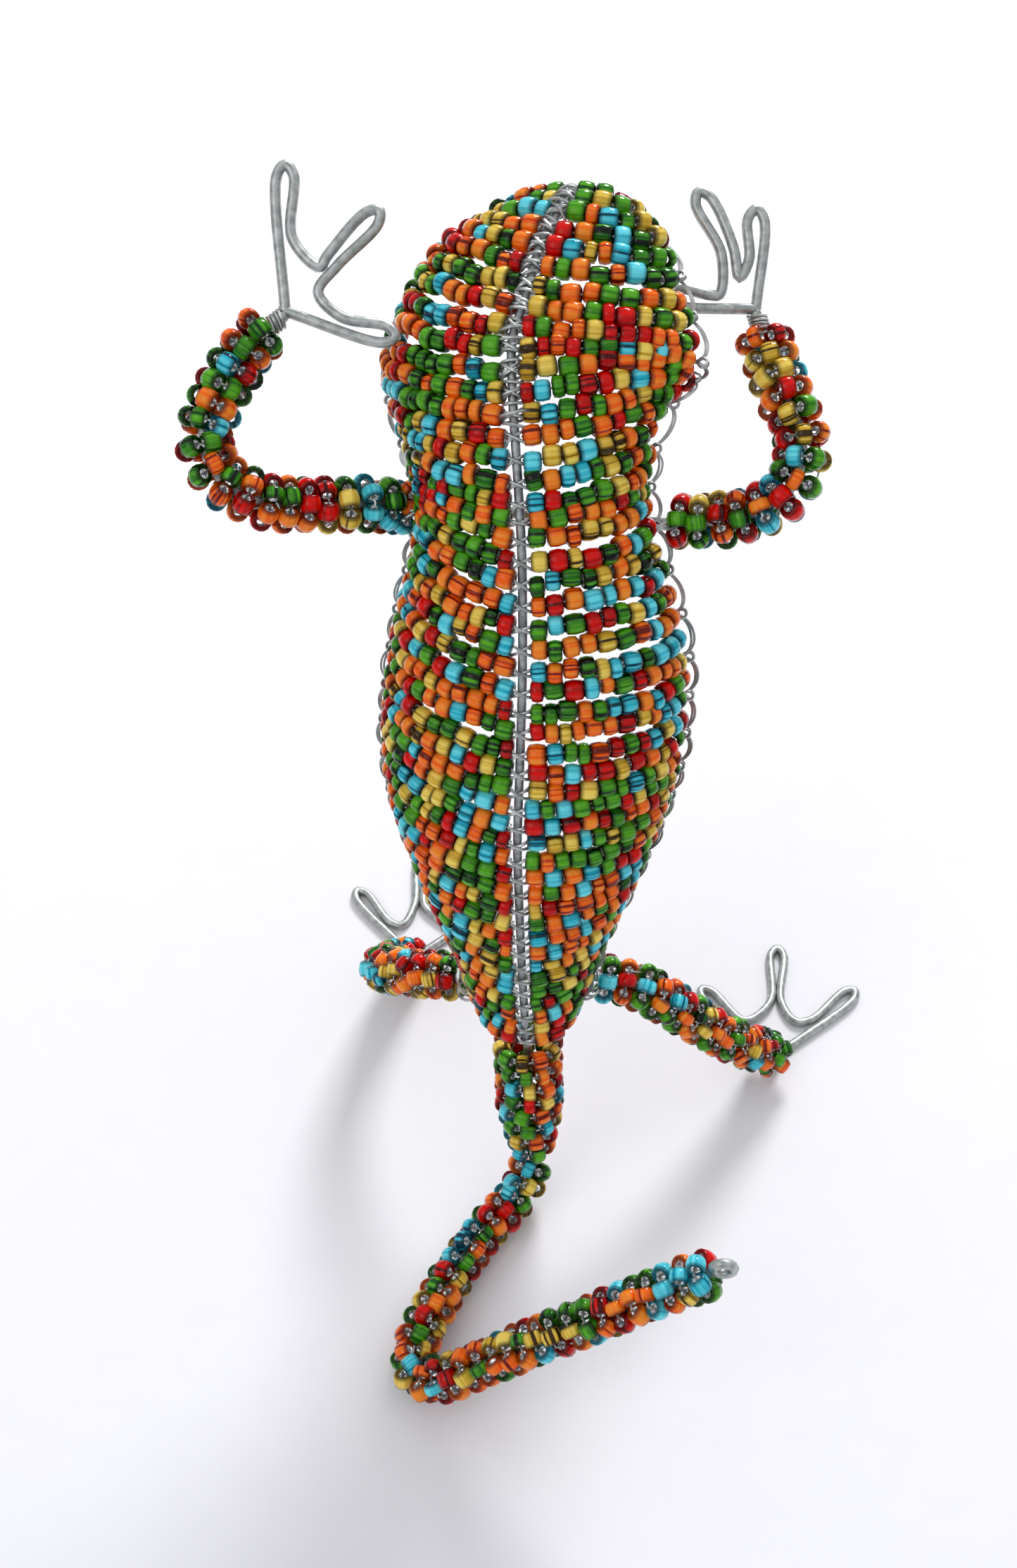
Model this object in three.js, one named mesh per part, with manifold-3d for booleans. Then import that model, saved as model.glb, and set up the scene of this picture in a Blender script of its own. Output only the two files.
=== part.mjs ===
// A lizard of glass seed beads on a wire frame, rearing up on its hind feet and tail.
// Millimetres, +Z up, +Y the way the lizard looks, +X its right side seen from behind.
// The origin is the bottom centre of its box.
import * as THREE from 'three';
import { mergeVertices } from 'three/addons/utils/BufferGeometryUtils.js';
import Module from 'manifold-3d';

const wasm = await Module();
wasm.setup();

// ---- driving dimensions ------------------------------------------------------------
const BEAD = 3.0;             // seed bead, outside diameter
const SPINE_WIRE = 1.4;       // galvanised back wire, diameter
const RIM_WIRE = 0.9;         // edge wire of the beadwork
const LIMB_WIRE = 1.7;        // soft wire bent into legs and toes
const BINDING_WIRE = 0.6;     // thin wire that ties wrists and ankles
const TIE_WIRE = 0.5;         // thin wire that ties the legs' roots to the edge wires
const TIE_RADIUS = 2.12;      // radius of a tie's loop
const TIE_DROP = 2.6;         // from the last bead's end to the middle of that loop
const GAP = 0.35;             // kept between neighbouring pieces
const LEG_SLEEVE = 9.2;       // outside diameter of the beading on a leg
const TAIL_SLEEVE = 8.4;      // the same on the tail
const TAIL_ROOT = 12.6;       // the tail where it leaves the hips
const SLEEVE_BORE = 3.4;      // hollow down the middle of a bead sleeve
const SPINE_CLEAR = 1.25;     // from the back wire's middle to the first bead
const RIM_DROP = 1.5;         // from the last bead's end to the middle of the edge wire
const ROOT_DROP = 3.15;       // the same to the middle of the wire that carries a pair of legs
const HINGE_ROOM = 2.4;       // from a bend's hinge to the beading on each side
const BEND_ROOM = 3.6;        // the same at the tail's sharp bend
const WIRE_ROOM = 0.8;        // from a bend's hinge to the wire on each side
const WRIST_ROOM = 3.2;       // bare wire between a leg's beading and its wrist or ankle
const TOES_CLEAR = 0.9;       // from the wrist's binding to the toes
const FLOOR_WIRE = LIMB_WIRE / 2 * Math.cos(Math.PI / 8);   // height of an eight-sided wire on a table

// Stations of the body from the tail root to the snout: the back wire's place, the half
// width and depth of the arch of beads, and its roll to the left in degrees.
const STATIONS = [
  { at: [0.1, -11.5, 38.5], half: 7.2, depth: 8, roll: 3 },
  { at: [-0.6, -9.0, 51.4], half: 11.5, depth: 10.5, roll: 5 },
  { at: [-1.2, -7.3, 67.9], half: 17.5, depth: 13, roll: 6 },
  { at: [-1.6, -4.7, 82.2], half: 21.5, depth: 14.5, roll: 7 },
  { at: [-1.3, -1.2, 94.6], half: 23.0, depth: 15.5, roll: 8 },
  { at: [-0.9, 5.8, 110.3], half: 22.3, depth: 15.5, roll: 10 },
  { at: [-1.0, 13.8, 124.2], half: 18.2, depth: 14.5, roll: 9 },
  { at: [-1.4, 18.4, 131.0], half: 16.8, depth: 13.5, roll: 9 },
  { at: [-1.9, 23.5, 137.3], half: 17.8, depth: 13, roll: 11 },
  { at: [-2.4, 29.3, 143.1], half: 20.5, depth: 13.5, roll: 14 },
  { at: [-2.4, 35.8, 148.4], half: 23.7, depth: 14, roll: 16 },
  { at: [-0.7, 40.3, 151.4], half: 23.7, depth: 13, roll: 16 },
  { at: [1.7, 48.5, 155.8], half: 20.5, depth: 10, roll: 14 },
  { at: [5.2, 55.8, 158.4], half: 15.0, depth: 7, roll: 10 },
  { at: [6.9, 62.8, 157.2], half: 8.0, depth: 3.5, roll: 6 },
];
const BOX_MIDDLE = { x: 6.85, y: 0.55 };            // middle of the figure's box, put at the origin
const HIP_START = 0.2;        // station of the first row of beads
const SNOUT_END = 13.75;      // and of the last
const ARCH_COLUMNS = 6;       // flats from the back wire round to the edge
const FRONT_LEGS = { left: 7.0, right: 6.42 };      // stations of the front legs
const HIND_LEGS = { left: 0.35, right: 0.35 };      // and of the hind legs
const ROOT_OUT = 3.1;         // from the edge of the beadwork out to a leg's root

// The middle line of each leg after its root, to the wrist or ankle, and where it bends.
const LEGS = {
  left_front: {
    pair: FRONT_LEGS, side: 'left', bend: [-48.3, 28.4, 132.6],
    path: [[-24.5, 30.4, 121.9], [-31.5, 28.4, 123.4], [-40.7, 25.4, 126.8], [-46.7, 26.8, 130.6],
      [-48.6, 30.2, 134.9], [-46.0, 35.2, 138.9], [-41.6, 40.6, 144.0], [-36.5, 44.4, 146.6]],
  },
  right_front: {
    pair: FRONT_LEGS, side: 'right', bend: [40.9, 29.0, 131.6],
    path: [[27.0, 26.6, 121.6], [33.0, 25.7, 123.6], [38.2, 25.6, 126.9], [40.8, 28.2, 130.8],
      [40.8, 32.5, 134.4], [38.6, 37.6, 137.2], [36.5, 43.6, 140.6], [34.8, 49.2, 143.8]],
  },
  left_hind: {
    pair: HIND_LEGS, side: 'left', bend: [-26.4, 16.6, 22.9],
    path: [[-16.6, 4.6, 36.6], [-21.8, 9.9, 30.2], [-26.4, 16.6, 22.9], [-26.0, 24.5, 13.8],
      [-23.4, 32.5, 5.4], [-22.0, 35.5, FLOOR_WIRE]],
  },
  right_hind: {
    pair: HIND_LEGS, side: 'right', bend: [32.6, 1.9, 25.0],
    path: [[19.5, 0.0, 39.4], [26.2, 0.5, 33.0], [32.6, 1.9, 25.0], [41.0, 5.5, 13.8],
      [46.8, 9.5, 5.6], [48.5, 11.5, FLOOR_WIRE]],
  },
};

// Toes of each foot, from its first to its last: [direction in degrees, length]. The webs
// between them are [direction, distance]. Directions turn from the foot's own sideways axis
// towards its own forward axis.
const FEET = {
  left_front: { toes: [[90, 22], [47, 20.7], [-13, 17]], webs: [[52, 8.4], [30, 5.7]] },
  right_front: { toes: [[171, 14.2], [116, 20], [90, 15.3]], webs: [[158, 6], [118, 5.4]] },
  left_hind: { toes: [[125.4, 21.7], [87.7, 27.4], [46, 21]], webs: [[109, 9], [57, 10.8]] },
  right_hind: { toes: [[128.7, 20.8], [83.3, 26.7], [42.3, 23.6]], webs: [[113, 9.6], [59, 9.7]] },
};
const TOE_TIP = 1.25;         // half the width of a toe's bend
const TOE_ROOT = 1.05;        // half the width of a toe at its web
const TOE_WEB = 0.5;          // where its web meets a toe, as a share of its length
const TOE_BEND = 1.6;         // length of a toe's bend
const TOE_START = 0.6;        // from the end of a leg's own wire to the first toe
const HAND_TILT = 43;         // how far the front feet lean up from the table, in degrees

// The tail after its tapered root: along the table, round a bend, then up.
const TAIL_AXIS = [[0.2, -8.8, 36.2], [1.2, -15.6, 11.4]];
const TAIL_NECK = [1.2, -16.6, 8.6];
const TAIL_BEND = [-18.7, -53.6, 4.4];
const TAIL_PATH = [TAIL_NECK, [-1.2, -20.8, 5.0], [-7.1, -27.6, 4.25], [-11.9, -35.1, 4.2],
  [-16.6, -44.5, 4.2], [-19.0, -50.6, 4.2], [-18.4, -55.2, 4.9], [-15.0, -57.5, 7.2],
  [-5.6, -58.1, 15.8], [5.7, -58.1, 25.5], [16.5, -58.1, 34.8], [28.5, -58.9, 46.0]];
const TAIL_EYE = 1.55;        // radius of the eye that the tail's wire ends in
const EYE_LAP = 0.9;          // from the wire's end to the eye's middle, in radii
const ROOT_TAPER = 0.55;      // where the tail's root starts to taper, as a share of its length

// ---- materials ------------------------------------------------------------------------
const finish = (color, roughness, metalness) =>
  new THREE.MeshStandardMaterial({ color, roughness, metalness });
const GALVANISED = finish(0x6d6f70, 0.5, 0.8);
const SOFT_WIRE = finish(0xb4b8b6, 0.45, 0.85);
const BRIGHT_WIRE = finish(0xc8cac9, 0.3, 0.9);
const GLASS = {
  orange: finish(0xe2541b, 0.15, 0.0),
  green: finish(0x2f8a24, 0.15, 0.0),
  red: finish(0xc01210, 0.15, 0.0),
  aqua: finish(0x2aa7c4, 0.15, 0.0),
  gold: finish(0xc9a23c, 0.15, 0.0),
};

// ---- helpers ----------------------------------------------------------------------------
const figure = new THREE.Group();
const vec = (p) => new THREE.Vector3(...p);
const curveOf = (points) =>
  new THREE.CatmullRomCurve3(points.map((p) => (p.isVector3 ? p : vec(p))), false, 'centripetal');

function addPiece(name, geometry, material) {
  const mesh = new THREE.Mesh(geometry, material);
  mesh.name = name;
  figure.add(mesh);
}

// A regular polygon with a flat side down, for the section of a wire or sleeve.
function ringShape(Kind, radius, sides) {
  const corners = Array.from({ length: sides }, (_, i) => {
    const angle = (i + 0.5) * 2 * Math.PI / sides;
    return new THREE.Vector2(radius * Math.cos(angle), radius * Math.sin(angle));
  });
  return new Kind(corners);
}

function tubeAlong(curve, diameter, steps, sides = 8, bore = 0) {
  const section = ringShape(THREE.Shape, diameter / 2, sides);
  if (bore > 0) section.holes.push(ringShape(THREE.Path, bore / 2, sides));
  return new THREE.ExtrudeGeometry(section, { steps, extrudePath: curve, bevelEnabled: false });
}

// The stretch of a curve between two distances along it.
function stretch(curve, from, to, count = 10) {
  const length = curve.getLength();
  const points = Array.from({ length: count + 1 }, (_, i) =>
    curve.getPointAt(Math.min(1, (from + (to - from) * i / count) / length)));
  return curveOf(points);
}

// How far along a curve its nearest point to a place is.
function distanceTo(curve, place) {
  const samples = 400;
  let best = 0;
  let nearest = Infinity;
  for (let i = 0; i <= samples; i += 1) {
    const away = curve.getPointAt(i / samples).distanceTo(place);
    if (away < nearest) {
      nearest = away;
      best = i;
    }
  }
  return curve.getLength() * best / samples;
}

function toSolid(geometry) {
  const bare = geometry.clone();
  for (const name of ['normal', 'uv']) bare.deleteAttribute(name);
  const merged = mergeVertices(bare, 1e-5);
  return new wasm.Manifold(new wasm.Mesh({
    numProp: 3,
    vertProperties: new Float32Array(merged.attributes.position.array),
    triVerts: new Uint32Array(merged.index.array),
  }));
}

function union(geometries) {
  const joined = geometries.map(toSolid).reduce((whole, solid) => whole.add(solid));
  const mesh = joined.getMesh();
  const geometry = new THREE.BufferGeometry();
  geometry.setAttribute('position', new THREE.BufferAttribute(mesh.vertProperties, 3));
  geometry.setIndex(new THREE.BufferAttribute(mesh.triVerts, 1));
  return geometry;
}

// ---- the body's own frame -------------------------------------------------------------
const LAST = STATIONS.length - 1;
const backLine = curveOf(STATIONS.map((s) => s.at));
const profile = curveOf(STATIONS.map((s) => [s.half, s.depth, s.roll]));

function bodyFrame(station) {
  const middle = backLine.getPoint(station / LAST);
  const along = backLine.getTangent(station / LAST);
  const [half, depth, roll] = profile.getPoint(station / LAST).toArray();
  const across = new THREE.Vector3(1, 0, 0).addScaledVector(along, -along.x).normalize();
  across.applyAxisAngle(along, -THREE.MathUtils.degToRad(roll));
  const up = new THREE.Vector3().crossVectors(across, along);
  return { middle, along, across, up, half, depth };
}

// A place in the body's frame: to the right of the back wire and below it.
function inBody(station, right, below) {
  const { middle, across, up } = bodyFrame(station);
  return middle.clone().addScaledVector(across, right).addScaledVector(up, -below);
}

// A place on the arch of beads: turn is 0 on the back and a right angle at the edge.
function onArch(station, side, turn, out) {
  const { half, depth } = bodyFrame(station);
  const normal = new THREE.Vector2(depth * Math.sin(turn), half * Math.cos(turn)).normalize();
  const right = half * Math.sin(turn) + out * normal.x;
  const below = depth * (1 - Math.cos(turn)) - out * normal.y;
  return inBody(station, side * right, below);
}

const SIDES = { left: -1, right: 1 };

// ---- body -------------------------------------------------------------------------------
// Rows of beads strung side by side, as one thin arched shell from the back wire to the edge.
function beadShell(side, from, to, rows, columns) {
  const positions = [];
  const index = [];
  for (const out of [BEAD / 2, -BEAD / 2]) {
    for (let r = 0; r <= rows; r += 1) {
      const station = from + (to - from) * r / rows;
      const start = Math.asin(SPINE_CLEAR / bodyFrame(station).half);
      for (let c = 0; c <= columns; c += 1) {
        const turn = start + (Math.PI / 2 - start) * c / columns;
        positions.push(...onArch(station, side, turn, out).toArray());
      }
    }
  }
  const wide = columns + 1;
  const layer = (rows + 1) * wide;
  const quad = (a, b, c, d) => {
    if (side > 0) index.push(a, b, c, a, c, d);
    else index.push(a, c, b, a, d, c);
  };
  for (let r = 0; r < rows; r += 1) {
    for (let c = 0; c < columns; c += 1) {
      const a = r * wide + c;
      quad(a, a + 1, a + 1 + wide, a + wide);
      quad(layer + a + wide, layer + a + 1 + wide, layer + a + 1, layer + a);
    }
    const near = r * wide;
    const far = near + columns;
    quad(near, near + wide, near + wide + layer, near + layer);
    quad(far + wide, far, far + layer, far + wide + layer);
  }
  for (let c = 0; c < columns; c += 1) {
    const tailward = c;
    const headward = rows * wide + c;
    quad(tailward + 1, tailward, tailward + layer, tailward + 1 + layer);
    quad(headward, headward + 1, headward + 1 + layer, headward + layer);
  }
  const geometry = new THREE.BufferGeometry();
  geometry.setAttribute('position', new THREE.Float32BufferAttribute(positions, 3));
  geometry.setIndex(index);
  return geometry;
}

const BEADWORK = [
  { name: 'hip_beads', from: HIP_START, to: 1.6, rows: 5, glass: 'green' },
  { name: 'lower_back_beads', from: 1.6, to: 4, rows: 7, glass: 'orange' },
  { name: 'upper_back_beads', from: 4, to: 6.2, rows: 7, glass: 'aqua' },
  { name: 'neck_beads', from: 6.2, to: 9, rows: 7, glass: 'orange' },
  { name: 'head_beads', from: 9, to: SNOUT_END, rows: 12, glass: 'red' },
];
const SEAM = 0.015;           // half the gap between two panels, in stations

function buildBeadwork() {
  for (const [label, side] of Object.entries(SIDES)) {
    for (const panel of BEADWORK) {
      const shell = beadShell(side, panel.from + SEAM, panel.to - SEAM, panel.rows, ARCH_COLUMNS);
      addPiece(`${label}_${panel.name}`, shell, GLASS[panel.glass]);
    }
  }
}

function buildBodyWires() {
  const core = [[1.1, -15.0, 13.0], [0.9, -13.2, 19.0], [0.5, -11.0, 28.0], [0.3, -10.1, 34.5]];
  const back = curveOf([...core, ...STATIONS.map((s) => s.at)]);
  addPiece('spine_wire', tubeAlong(back, SPINE_WIRE, 48), GALVANISED);
  for (const [label, side] of Object.entries(SIDES)) {
    const stations = Array.from({ length: 28 }, (_, i) =>
      HIP_START + (SNOUT_END - HIP_START) * i / 27);
    const edge = curveOf(stations.map((s) => {
      const { half, depth } = bodyFrame(s);
      return inBody(s, side * half, depth + RIM_DROP);
    }));
    addPiece(`${label}_edge_wire`, tubeAlong(edge, RIM_WIRE, 34, 6), GALVANISED);
  }
}

const legRoot = (pair, side) => {
  const { half, depth } = bodyFrame(pair[side]);
  return inBody(pair[side], SIDES[side] * (half + ROOT_OUT), depth + ROOT_DROP);
};

// The wire that carries a pair of legs, and the ties that hold it to the edge wires.
function buildCrossWire(name, pair, tie) {
  const ends = [legRoot(pair, 'left'), legRoot(pair, 'right')];
  const whole = curveOf([ends[0], ends[0].clone().lerp(ends[1], 0.5), ends[1]]);
  const wire = stretch(whole, WIRE_ROOM, whole.getLength() - WIRE_ROOM, 4);
  addPiece(name, tubeAlong(wire, LIMB_WIRE, 4), SOFT_WIRE);
  for (const [label, side] of Object.entries(SIDES)) {
    const { half, depth, along, across } = bodyFrame(pair[label]);
    const loop = new THREE.TorusGeometry(TIE_RADIUS, TIE_WIRE / 2, 6, 14);
    const axis = across.clone().multiplyScalar(side).add(along).normalize();
    loop.applyQuaternion(new THREE.Quaternion().setFromUnitVectors(new THREE.Vector3(0, 0, 1), axis));
    loop.translate(...inBody(pair[label], side * half, depth + TIE_DROP).toArray());
    addPiece(`${label}_${tie}`, loop, BRIGHT_WIRE);
  }
}

// ---- legs and feet ------------------------------------------------------------------------
// One wire bent into three hairpin toes, starting and ending at the wrist.
function toesCurve(foot, wrist, sideways, forward) {
  const place = (direction, distance, shift = 0) => {
    const angle = THREE.MathUtils.degToRad(direction);
    const a = distance * Math.cos(angle) - shift * Math.sin(angle);
    const b = distance * Math.sin(angle) + shift * Math.cos(angle);
    return wrist.clone().addScaledVector(sideways, a).addScaledVector(forward, b);
  };
  const points = [wrist.clone()];
  foot.toes.forEach(([direction, length], i) => {
    const root = length * TOE_WEB;
    if (i > 0) points.push(place(direction, root, TOE_ROOT));
    points.push(place(direction, length - TOE_BEND, TOE_TIP));
    points.push(place(direction, length));
    points.push(place(direction, length - TOE_BEND, -TOE_TIP));
    if (i < foot.toes.length - 1) points.push(place(direction, root, -TOE_ROOT));
    if (i < foot.webs.length) points.push(place(...foot.webs[i]));
  });
  points.push(wrist.clone());
  return curveOf(points);
}

// A short coil of tying wire round a leg's wire, as a collar.
function bindingCollar(curve, from, to) {
  const bore = LIMB_WIRE + 2 * GAP;
  return tubeAlong(stretch(curve, from, to, 2), bore + 2 * BINDING_WIRE, 2, 12, bore);
}

function buildLeg(name, leg) {
  const root = legRoot(leg.pair, leg.side);
  const line = curveOf([root, ...leg.path]);
  const length = line.getLength();
  const bend = distanceTo(line, vec(leg.bend));
  const hind = name.endsWith('hind');
  const [upper, lower, paw] = hind ? ['thigh', 'shin', 'foot'] : ['upper_arm', 'forearm', 'hand'];
  const { side } = leg;
  const sleeveEnd = length - WRIST_ROOM;

  const upperWire = tubeAlong(stretch(line, WIRE_ROOM, bend - WIRE_ROOM), LIMB_WIRE, 10);
  addPiece(`${side}_${upper}_wire`, upperWire, SOFT_WIRE);
  const upperSleeve = stretch(line, HINGE_ROOM, bend - HINGE_ROOM);
  addPiece(`${side}_${upper}_beads`, tubeAlong(upperSleeve, LEG_SLEEVE, 7, 10, SLEEVE_BORE), GLASS.orange);

  const tilt = THREE.MathUtils.degToRad(hind ? 0 : HAND_TILT);
  const forward = new THREE.Vector3(0, Math.cos(tilt), Math.sin(tilt));
  const wrist = line.getPoint(1).addScaledVector(forward, TOE_START);
  const toes = toesCurve(FEET[name], wrist, new THREE.Vector3(1, 0, 0), forward);
  const sides = hind ? 8 : 6;
  const lowerWire = tubeAlong(stretch(line, bend + WIRE_ROOM, length), LIMB_WIRE, 10, sides);
  addPiece(`${side}_${paw}_wire`, union([lowerWire, tubeAlong(toes, LIMB_WIRE, 60, sides)]), SOFT_WIRE);
  const lowerSleeve = stretch(line, bend + HINGE_ROOM, sleeveEnd);
  addPiece(`${side}_${lower}_beads`, tubeAlong(lowerSleeve, LEG_SLEEVE, 7, 10, SLEEVE_BORE), GLASS.red);
  const joint = hind ? 'ankle' : 'wrist';
  const collar = bindingCollar(line, sleeveEnd + GAP, length - TOES_CLEAR);
  addPiece(`${side}_${joint}_binding`, collar, BRIGHT_WIRE);
}

// ---- tail ---------------------------------------------------------------------------------
function buildTail() {
  const [top, bottom] = TAIL_AXIS.map(vec);
  const length = top.distanceTo(bottom);
  const wide = TAIL_ROOT / 2;
  const narrow = TAIL_SLEEVE / 2;
  const taper = length * ROOT_TAPER;
  const ring = [[wide - BEAD, 0], [wide, 0], [wide, taper], [narrow, length],
    [SLEEVE_BORE / 2, length], [wide - BEAD, taper], [wide - BEAD, 0]];
  const root = new THREE.LatheGeometry(ring.map((p) => new THREE.Vector2(...p)), 14);
  const down = bottom.clone().sub(top).normalize();
  root.applyQuaternion(new THREE.Quaternion().setFromUnitVectors(new THREE.Vector3(0, 1, 0), down));
  root.translate(...top.toArray());
  addPiece('tail_root_beads', root, GLASS.green);

  const line = curveOf(TAIL_PATH);
  const whole = line.getLength();
  const bend = distanceTo(line, vec(TAIL_BEND));
  const middleWire = stretch(line, WIRE_ROOM, bend - WIRE_ROOM);
  addPiece('tail_middle_wire', tubeAlong(middleWire, LIMB_WIRE, 12), SOFT_WIRE);
  const middle = stretch(line, HINGE_ROOM, bend - BEND_ROOM);
  addPiece('tail_middle_beads', tubeAlong(middle, TAIL_SLEEVE, 10, 10, SLEEVE_BORE), GLASS.aqua);

  const tipWire = tubeAlong(stretch(line, bend + WIRE_ROOM, whole), LIMB_WIRE, 12);
  const eye = new THREE.TorusGeometry(TAIL_EYE, LIMB_WIRE / 2, 8, 18);
  const end = line.getPoint(1).addScaledVector(line.getTangent(1), TAIL_EYE * EYE_LAP);
  eye.rotateX(Math.PI / 2);
  eye.translate(...end.toArray());
  addPiece('tail_tip_wire', union([tipWire, eye]), SOFT_WIRE);
  const tip = stretch(line, bend + BEND_ROOM, whole - LIMB_WIRE);
  addPiece('tail_tip_beads', tubeAlong(tip, TAIL_SLEEVE, 10, 10, SLEEVE_BORE), GLASS.orange);
}

// ---- assembly -------------------------------------------------------------------------------
buildBodyWires();
buildBeadwork();
buildCrossWire('front_leg_crosswire', FRONT_LEGS, 'shoulder_tie');
buildCrossWire('hind_leg_crosswire', HIND_LEGS, 'hip_tie');
buildTail();
for (const [name, leg] of Object.entries(LEGS)) buildLeg(name, leg);
figure.position.set(-BOX_MIDDLE.x, -BOX_MIDDLE.y, 0);

export default figure;
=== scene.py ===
# %% [markdown]
# # A beaded wire lizard
# A small lizard that stands on its hind feet and tail. Its maker bends a frame from a few kinds of
# wire, strings glass seed beads on hair-thin wire, and lashes the strings to the frame row by row.
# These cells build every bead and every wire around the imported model, which gives the sizes and joints.

# %% The frame
import math
import random

import bpy
from mathutils import Matrix, Vector


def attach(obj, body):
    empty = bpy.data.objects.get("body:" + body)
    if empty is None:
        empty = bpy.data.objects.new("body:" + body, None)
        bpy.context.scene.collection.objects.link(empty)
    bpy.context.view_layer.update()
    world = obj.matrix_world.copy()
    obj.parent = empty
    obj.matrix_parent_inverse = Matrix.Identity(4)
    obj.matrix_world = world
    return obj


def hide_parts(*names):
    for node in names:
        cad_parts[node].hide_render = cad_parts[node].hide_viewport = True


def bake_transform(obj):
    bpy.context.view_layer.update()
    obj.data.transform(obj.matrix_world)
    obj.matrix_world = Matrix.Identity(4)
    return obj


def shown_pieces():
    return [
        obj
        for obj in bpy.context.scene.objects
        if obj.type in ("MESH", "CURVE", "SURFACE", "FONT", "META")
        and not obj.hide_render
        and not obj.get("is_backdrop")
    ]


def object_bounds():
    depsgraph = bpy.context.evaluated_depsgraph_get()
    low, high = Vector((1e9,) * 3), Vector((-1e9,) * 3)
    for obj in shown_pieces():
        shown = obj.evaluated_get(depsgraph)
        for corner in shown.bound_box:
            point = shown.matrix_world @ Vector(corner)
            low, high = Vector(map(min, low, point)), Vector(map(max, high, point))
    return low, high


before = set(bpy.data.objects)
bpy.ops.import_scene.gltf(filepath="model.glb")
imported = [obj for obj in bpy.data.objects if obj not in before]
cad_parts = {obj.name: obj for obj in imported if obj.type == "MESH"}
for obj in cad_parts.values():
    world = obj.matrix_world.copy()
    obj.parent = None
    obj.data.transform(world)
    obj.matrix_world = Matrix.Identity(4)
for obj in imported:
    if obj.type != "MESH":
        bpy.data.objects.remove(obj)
cad_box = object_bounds()
chance = random.Random(8)
MM = 0.001

# %% [markdown]
# ## Sizes
# Seed beads of size 8/0 are about 3 mm across. These are uneven and a little wider, so that the rows
# lie close. The wires are stock gauges: stiff galvanised wire down the back, soft pale wire in the
# limbs, and fine wire for the strings, lashings and bindings.

# %% Sizes in millimetres
BEAD = 3.2
BEAD_HOLE = 1.1
BEAD_LENGTHS = (1.9, 3.1)
BEAD_WIDTHS = (1.02, 1.12)
SPINE_WIRE = 1.4
LIMB_WIRE = 1.7
STRING_WIRE = 0.42
LASH_WIRE = 0.52
ROW_PITCH = 3.32
RING_PITCH = 3.25
BEAD_ROOM = 3.1
LEG_SLEEVE = 9.2
TAIL_SLEEVE = 8.4
TAIL_ROOT = 12.6
SPINE_CLEAR = 1.3
HINGE_ROOM = 2.4
WIRE_ROOM = 0.8
ROOT_DROP = 3.15
ROOT_OUT = 3.1
SNOUT_END = 13.75
FLOOR_WIRE = LIMB_WIRE / 2 * math.cos(math.pi / 8)
BOX_MIDDLE = Vector((6.85, 0.55, 0.0))

# %% [markdown]
# ## The body's own frame
# The body is an arch of beads over a back wire. Each station below gives the back wire's place and
# the arch's half width, depth and roll, as the model's own stations do. A smooth curve through them
# gives every place in between.

# %% Curves
STATIONS = [
    (0.1, -11.5, 38.5, 7.2, 8, 3), (-0.6, -9.0, 51.4, 11.5, 10.5, 5), (-1.2, -7.3, 67.9, 17.5, 13, 6),
    (-1.6, -4.7, 82.2, 21.5, 14.5, 7), (-1.3, -1.2, 94.6, 23.0, 15.5, 8),
    (-0.9, 5.8, 110.3, 22.3, 15.5, 10), (-1.0, 13.8, 124.2, 18.2, 14.5, 9),
    (-1.4, 18.4, 131.0, 16.8, 13.5, 9), (-1.9, 23.5, 137.3, 17.8, 13, 11),
    (-2.4, 29.3, 143.1, 20.5, 13.5, 14), (-2.4, 35.8, 148.4, 23.7, 14, 16),
    (-0.7, 40.3, 151.4, 23.7, 13, 16), (1.7, 48.5, 155.8, 20.5, 10, 14),
    (5.2, 55.8, 158.4, 15.0, 7, 10), (6.9, 62.8, 157.2, 8.0, 3.5, 6),
]
LAST = len(STATIONS) - 1


class Curve:
    """A smooth curve through points, with a place and a direction at any distance along it."""

    def __init__(self, points, samples=600):
        self.points = [Vector(p) for p in points]
        self.samples = samples
        self.places = [self.at(i / samples) for i in range(samples + 1)]
        self.lengths = [0.0]
        for a, b in zip(self.places, self.places[1:]):
            self.lengths.append(self.lengths[-1] + (b - a).length)
        self.length = self.lengths[-1]

    def at(self, share):
        """Centripetal Catmull-Rom: the share counts control points, not distance."""
        p = self.points
        spot = (len(p) - 1) * min(max(share, 0.0), 1.0)
        i = min(int(spot), len(p) - 2)
        weight = spot - i
        p0 = p[i - 1] if i > 0 else 2 * p[0] - p[1]
        p1, p2 = p[i], p[i + 1]
        p3 = p[i + 2] if i + 2 < len(p) else 2 * p[-1] - p[-2]
        d0, d1, d2 = (math.sqrt((b - a).length) for a, b in ((p0, p1), (p1, p2), (p2, p3)))
        m1 = ((p1 - p0) / d0 - (p2 - p0) / (d0 + d1) + (p2 - p1) / d1) * d1
        m2 = ((p2 - p1) / d1 - (p3 - p1) / (d1 + d2) + (p3 - p2) / d2) * d1
        cubic = 2 * p1 - 2 * p2 + m1 + m2
        square = -3 * p1 + 3 * p2 - 2 * m1 - m2
        return p1 + m1 * weight + square * weight**2 + cubic * weight**3

    def share_at(self, distance):
        low, high = 0, self.samples
        distance = min(max(distance, 0.0), self.length)
        while high - low > 1:
            middle = (low + high) // 2
            if self.lengths[middle] <= distance:
                low = middle
            else:
                high = middle
        step = self.lengths[high] - self.lengths[low] or 1.0
        return (low + (distance - self.lengths[low]) / step) / self.samples

    def place(self, distance):
        return self.at(self.share_at(distance))

    def along(self, distance):
        step = 0.05
        return (self.place(distance + step) - self.place(distance - step)).normalized()

    def nearest(self, target):
        best = min(range(self.samples + 1), key=lambda i: (self.places[i] - target).length)
        return self.lengths[best]


back = Curve([s[:3] for s in STATIONS])
profile = Curve([s[3:] for s in STATIONS])
print("back wire between the hips and the snout:", round(back.length), "mm")

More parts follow.
